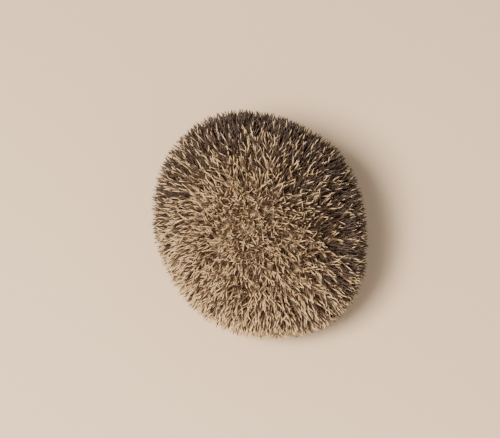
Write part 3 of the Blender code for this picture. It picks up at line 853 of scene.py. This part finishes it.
def make_skin(material):
    """One closed skin over the whole animal, with what the fur has to know of it."""
    grid = [grid_line(stops) for stops in GRID]
    x, y, z = np.meshgrid(*grid, indexing="ij")
    whole = smooth_max(mantle_skin(x, y, z), RIM_Z - z, RIM_SOFTNESS)
    for middle, radii, softness in HOLLOWS:
        whole = smooth_max(whole, -ellipsoid(x, y, z, middle, radii), softness)
    parts = {name: np.minimum.reduce([node_distance(node, grid) for node in nodes]) + depth
             for name, (nodes, depth, _) in PARTS.items()}
    parts["head"] = smooth_min(shape_face(parts["head"], x, y, z),
                               ellipsoid(*in_head(x, y, z), NECK_PLACE, NECK_RADII), NECK_SOFTNESS)
    for name, (_, _, softness) in PARTS.items():
        whole = smooth_min(whole, parts[name], softness)

    field = vdb.FloatGrid(0.01)
    field.copyFromArray(whole.astype(np.float32))
    field.transform = vdb.createLinearTransform(voxelSize=1.0)
    places, triangles, quads = field.convertToPolygons(isovalue=0.0, adaptivity=0.0)
    points = np.stack([np.interp(places[:, a], np.arange(len(line)), line) for a, line in enumerate(grid)], 1)
    nearest = tuple(np.clip(np.rint(places).astype(int), 0, [len(line) - 1 for line in grid]).T)
    regions = {name: 1 - smooth_step(values[nearest], *PART_EDGE) for name, values in parts.items()}
    on_mantle = 1 - smooth_step(np.abs(mantle_skin(*points.T)), *MANTLE_EDGE)
    regions["mantle"] = on_mantle * (points[:, 2] > MANTLE_LOWEST) * (face_arch(points) > 1)
    shade, bare = markings(points, regions)

    skin = new_piece("skin", points, [f for f in (triangles, quads) if len(f)], material)
    give(skin, "root", points)
    give(skin, "shade", shade)
    give(skin, "bare", bare)
    add_map(skin, unwrap(points))
    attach(skin, "root")
    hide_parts("back", "crown", "rump", "flank_left", "flank_right", "trunk", "shoulder_left",
                "shoulder_right", "head", "ear_left", "ear_right", "tail", *LEGS)
    normals = np.empty(len(points) * 3, np.float32)
    skin.data.vertex_normals.foreach_get("vector", normals)
    return Skin(points, quads, normals.reshape(-1, 3), regions, shade, between_lines(grid, whole))


# ---------------------------------------------------------------- fur

def scatter(skin, weight, spacing):
    """Random roots on the skin, one for each spacing squared, fewer where weight is below 1."""
    corners = skin.points[skin.quads]
    first, second, third = (corners[:, k] - corners[:, 0] for k in (1, 2, 3))
    size = (np.linalg.norm(np.cross(first, second), axis=1)
            + np.linalg.norm(np.cross(second, third), axis=1)) / 2
    size = size * weight[skin.quads].mean(1)
    count = int(size.sum() / spacing ** 2)
    picked = skin.quads[rng.choice(len(skin.quads), count, p=size / size.sum())]
    u, v = rng.uniform(0, 1, (2, count, 1))
    shares = np.stack([(1 - u) * (1 - v), u * (1 - v), u * v, (1 - u) * v], 1)

    def blend(values):
        return (values[picked] * shares).sum(1)

    return blend(skin.points), unit(blend(skin.normals)), blend(skin.shade[:, None])[:, 0]


def grow(name, skin, weight, lie, fur, material):
    """A coat of tufts. lie is the way they point along the skin, or a function that gives it at the roots."""
    spacing, length, radius, rise, stray, slot = fur
    roots, normals, shade = scatter(skin, weight, spacing)
    count = len(roots)
    way = lie(roots) if callable(lie) else lie
    heading = way + rng.normal(0, stray, (count, 3)) + drift(roots, 0.007, 9) * stray
    heading = unit(heading - normals * (heading * normals).sum(1, keepdims=True), 1e-9)
    heading = unit(heading + normals * (rise * rng.uniform(0.7, 1.3, count))[:, None])
    from_face = np.hypot(roots[:, 0] / FACE_ROOM[0], (roots[:, 1] - FACE_ROOM_Y) / FACE_ROOM[1])
    near_face = 1 - smooth_step(from_face, 0.7, 1.1)
    cut = 0.5 * near_face * (length > LONG_FUR)
    lengths = rng.uniform(0.75, 1.2, count) * length * (1 - cut)
    drop = np.maximum(-heading[:, 2], 1e-3)
    lengths = np.minimum(lengths, np.maximum((roots[:, 2] - FUR_LOWEST) / drop, FUR_SHORTEST))
    for _ in range(6):  # tufts in a fold rise until they clear the skin ahead of them
        height = skin.height(roots + heading * lengths[:, None])
        heading = unit(heading + normals * np.clip(FUR_CLEARANCE - height / lengths, 0, 0.5)[:, None])
    bends = -normals * 0.22 * rise + rng.normal(0, 0.05, (count, 3))
    tip_heights = np.maximum(roots[:, 2] + heading[:, 2] * lengths, 0)
    bends[:, 2] = np.maximum(bends[:, 2], -0.5 * tip_heights / lengths)
    radii = radius * rng.uniform(0.7, 1.2, count)
    piece = strands(name, roots - normals * FUR_SUNK, heading, lengths, radii, bends, material, TUFT_SIDES,
                    TUFT_PROFILE, SHORT_PATCH, shade=shade, bare=np.zeros(count))


def rearward(roots):
    """The lie of the belly's fur: to the rear in the middle, outward and down near the rim."""
    outward = unit(roots * [1, 1, 0], 1e-6)
    rim = smooth_step(np.linalg.norm(roots[:, :2] * [1, 0.88], axis=1), *RIM_REACHES)[:, None]
    return REAR_WAY * (1 - rim) + (outward + RIM_WAY) * rim


def make_fur(skin):
    points, regions = skin.points, skin.regions
    material = fur_material()
    fringe = np.maximum(1 - smooth_step(face_arch(points), *FRINGE_ARCH),
                        1 - smooth_step(points[:, 2], *FRINGE_RIM))
    other = 1 - np.clip(sum(regions.values()), 0, 1)
    belly = np.clip(other * (points[:, 2] < BELLY_TOP) + regions["mantle"] * fringe, 0, 1)
    for k in (1, 2):
        grow(f"fur_belly_{k}", skin, belly, rearward, BELLY_FUR, material)

    _, back, _ = in_head(*points.T)
    to_nape = from_head((0, 1, 0))
    face = regions["head"] * (back > FACE_START) * smooth_step(nearest_slit(points), *LASH_EDGE)
    grow("fur_face", skin, face * (back < FACE_END), to_nape, FACE_FUR, material)
    grow("fur_cheeks", skin, face * (back >= CHEEK_START), to_nape, CHEEK_FUR, material)
    legs = regions["limbs"] * (points[:, 2] > LEG_FUR_LOWEST) * (regions["head"] < 0.5)
    grow("fur_legs", skin, legs, LEG_WAY, LEG_FUR, material)
    ears = regions["ears"] + TAIL_COVER * regions["tail"]
    grow("fur_ears", skin, ears, EAR_WAY, EAR_FUR, material)


# ---------------------------------------------------------------- whiskers and claws

def make_whiskers():
    side = np.where(np.arange(WHISKERS) % 2, 1.0, -1.0)
    back = rng.uniform(*WHISKER_BACK, WHISKERS)
    up = rng.uniform(*WHISKER_UP, WHISKERS)
    half_muzzle = MUZZLE_HALF_WIDTH + back * MUZZLE_WIDENS
    roots = np.array(NOSE_TIP) - MIDDLE + np.stack([side * half_muzzle, *frame_plane(back, up)], 1)
    headings = np.stack([from_head((0.9 * q, rng.uniform(0.05, 0.7), rng.uniform(-0.15, 0.5))) for q in side])
    lengths = rng.uniform(*WHISKER_LENGTHS, WHISKERS)
    bends = np.stack([rng.normal(0, 0.04, WHISKERS), rng.uniform(0.05, 0.25, WHISKERS),
                      rng.uniform(-0.1, 0.1, WHISKERS)], 1)
    drop = np.maximum(-(headings + bends)[:, 2], 1e-3)
    lengths = np.minimum(lengths, (roots[:, 2] - TIP_LOWEST) / drop)
    hair = horn_material("whisker_hair", (0.03, 0.02, 0.015), (0.10, 0.07, 0.05), 0.4)
    piece = strands("whiskers", roots, headings, lengths, np.full(WHISKERS, WHISKER_RADIUS), bends, hair,
                    WHISKER_SIDES, WHISKER_PROFILE)


def make_claws():
    roots, headings = [], []
    for paw in PAWS:
        for side, _ in SIDES:
            for across in np.linspace(-1, 1, TOES):
                heading = paw.spread / 2 * across + paw.turn * side
                forward = np.array([math.sin(heading), -math.cos(heading), 0])
                base = np.array([paw.place[0] * side, paw.place[1], paw.place[2]]) - MIDDLE
                base = base + [forward[0] * paw.half_size[0] * TOE_ROOTS[0],
                               forward[1] * paw.half_size[1] * TOE_ROOTS[1], -TOE_DROP]
                reach = paw.toe_length * (1 - OUTER_TOES_SHORTER * across * across)
                roots.append(base + forward * reach * CLAW_START + [0, 0, -0.0001])
                headings.append(forward + [0, 0, 0.10])
    count = len(roots)
    horn = horn_material("claw_horn", (0.11, 0.075, 0.055), (0.27, 0.20, 0.14), 0.38)
    piece = strands("claws", np.array(roots), unit(np.array(headings)), np.full(count, CLAW_LENGTH),
                    np.full(count, CLAW_RADIUS), np.tile([0, 0, CLAW_CURVE], (count, 1)), horn, CLAW_SIDES,
                    CLAW_PROFILE)


# ---------------------------------------------------------------- eyes and nose

def make_eyes():
    gloss = wet_material("eye_gloss", (0.010, 0.008, 0.007), (0.018, 0.012, 0.010), 300, 0.10, 0)
    rim = wet_material("lid_rim", (0.020, 0.014, 0.012), (0.050, 0.034, 0.028), 1500, 0.45, 0.00006)
    for side, word in SIDES:
        middle = middle_of(f"eye_{word}")
        eye = round_piece(f"eyeball_{word}", middle, lambda ways: np.full(len(ways), EYE_RADIUS), gloss)
        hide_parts(f"eye_{word}")
        along, over, out = eye_frame(side)
        turn = np.linspace(0, TURN, 48, endpoint=False)
        u, v = LID_RIM[0] * np.cos(turn), LID_RIM[1] * np.sin(turn) * (1 - 0.12 * np.cos(turn) ** 2)
        rise = np.sqrt(LID_RIM_REACH ** 2 - u ** 2 - v ** 2)
        ways = u[:, None] * along + v[:, None] * over + rise[:, None] * out
        lid = ring_piece(f"lid_rim_{word}", middle, ways, LID_RIM_RADIUS, rim)


def nose_radius(ways):
    """The wet pad: broad, with a groove down the middle and a comma-shaped nostril on each side."""
    across, back, up = ways[:, 0], *head_plane(ways[:, 1], ways[:, 2])
    base = 1 / np.sqrt(sum((v / r) ** 2 for v, r in zip((across, back, up), NOSE_RADII)))

    def dents(place, level, half_width, half_height):
        return sum(np.exp(-(((across - place * q) / half_width) ** 2 + ((up - level) / half_height) ** 2))
                   for q, _ in SIDES)

    nostril = dents(0.62, -0.02, 0.17, 0.15)
    comma = dents(0.86, 0.20, 0.14, 0.08)
    groove = np.exp(-(across / 0.07) ** 2) * smooth_step(0.45 - up, 0, 0.5)
    ahead = smooth_step(-back, -0.1, 0.25)
    return base * (1 - ahead * (0.42 * nostril + 0.25 * comma + 0.13 * groove))


def make_nose():
    leather = wet_material("nose_leather", (0.010, 0.008, 0.008), (0.020, 0.016, 0.015), 1800, 0.30, 0.00012)
    nose = round_piece("nose_pad", middle_of("nose"), nose_radius, leather, columns=64, rows=44)
    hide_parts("nose")


# ---------------------------------------------------------------- the studio

def put(thing, azimuth, elevation, distance):
    """Places something round the animal and turns it to face the animal."""
    a, e = math.radians(azimuth), math.radians(elevation)
    way = Vector((math.sin(a) * math.cos(e), -math.cos(a) * math.cos(e), math.sin(e)))
    thing.location = Vector(TARGET) + way * distance
    thing.rotation_euler = (Vector(TARGET) - thing.location).to_track_quat("-Z", "Y").to_euler()


def make_studio():
    camera = placed("camera", bpy.data.cameras.new("camera"))
    put(camera, *CAMERA_PLACE)
    camera.data.lens = CAMERA_LENS
    camera.data.sensor_width = CAMERA_SENSOR
    camera.data.shift_x, camera.data.shift_y = CAMERA_SHIFT
    bpy.context.scene.camera = camera

    floor = placed("floor", bpy.data.meshes.new("floor"))
    corners = [(x * FLOOR_REACH, y * FLOOR_REACH, 0) for x, y in ((-1, -1), (1, -1), (1, 1), (-1, 1))]
    floor.data.from_pydata(corners, [], [(0, 1, 2, 3)])
    material, _, shader = new_material("studio_floor", 0.9)
    shader.inputs["Base Color"].default_value = FLOOR_COLOUR
    floor.data.materials.append(material)

    for lamp in LAMPS:
        light = bpy.data.lights.new(lamp.name, "AREA")
        light.size, light.energy, light.color = lamp.size, lamp.power, lamp.colour
        put(placed(lamp.name, light), lamp.azimuth, lamp.elevation, LAMP_DISTANCE)
    world = bpy.data.worlds.new("studio")
    world.use_nodes = True
    sky = world.node_tree.nodes["Background"]
    sky.inputs["Color"].default_value = SKY_COLOUR
    sky.inputs["Strength"].default_value = SKY_STRENGTH
    bpy.context.scene.world = world


make_studio()
skin = make_skin(skin_material())
make_spines(spine_material())
make_fur(skin)
make_whiskers()
make_claws()
make_eyes()
make_nose()
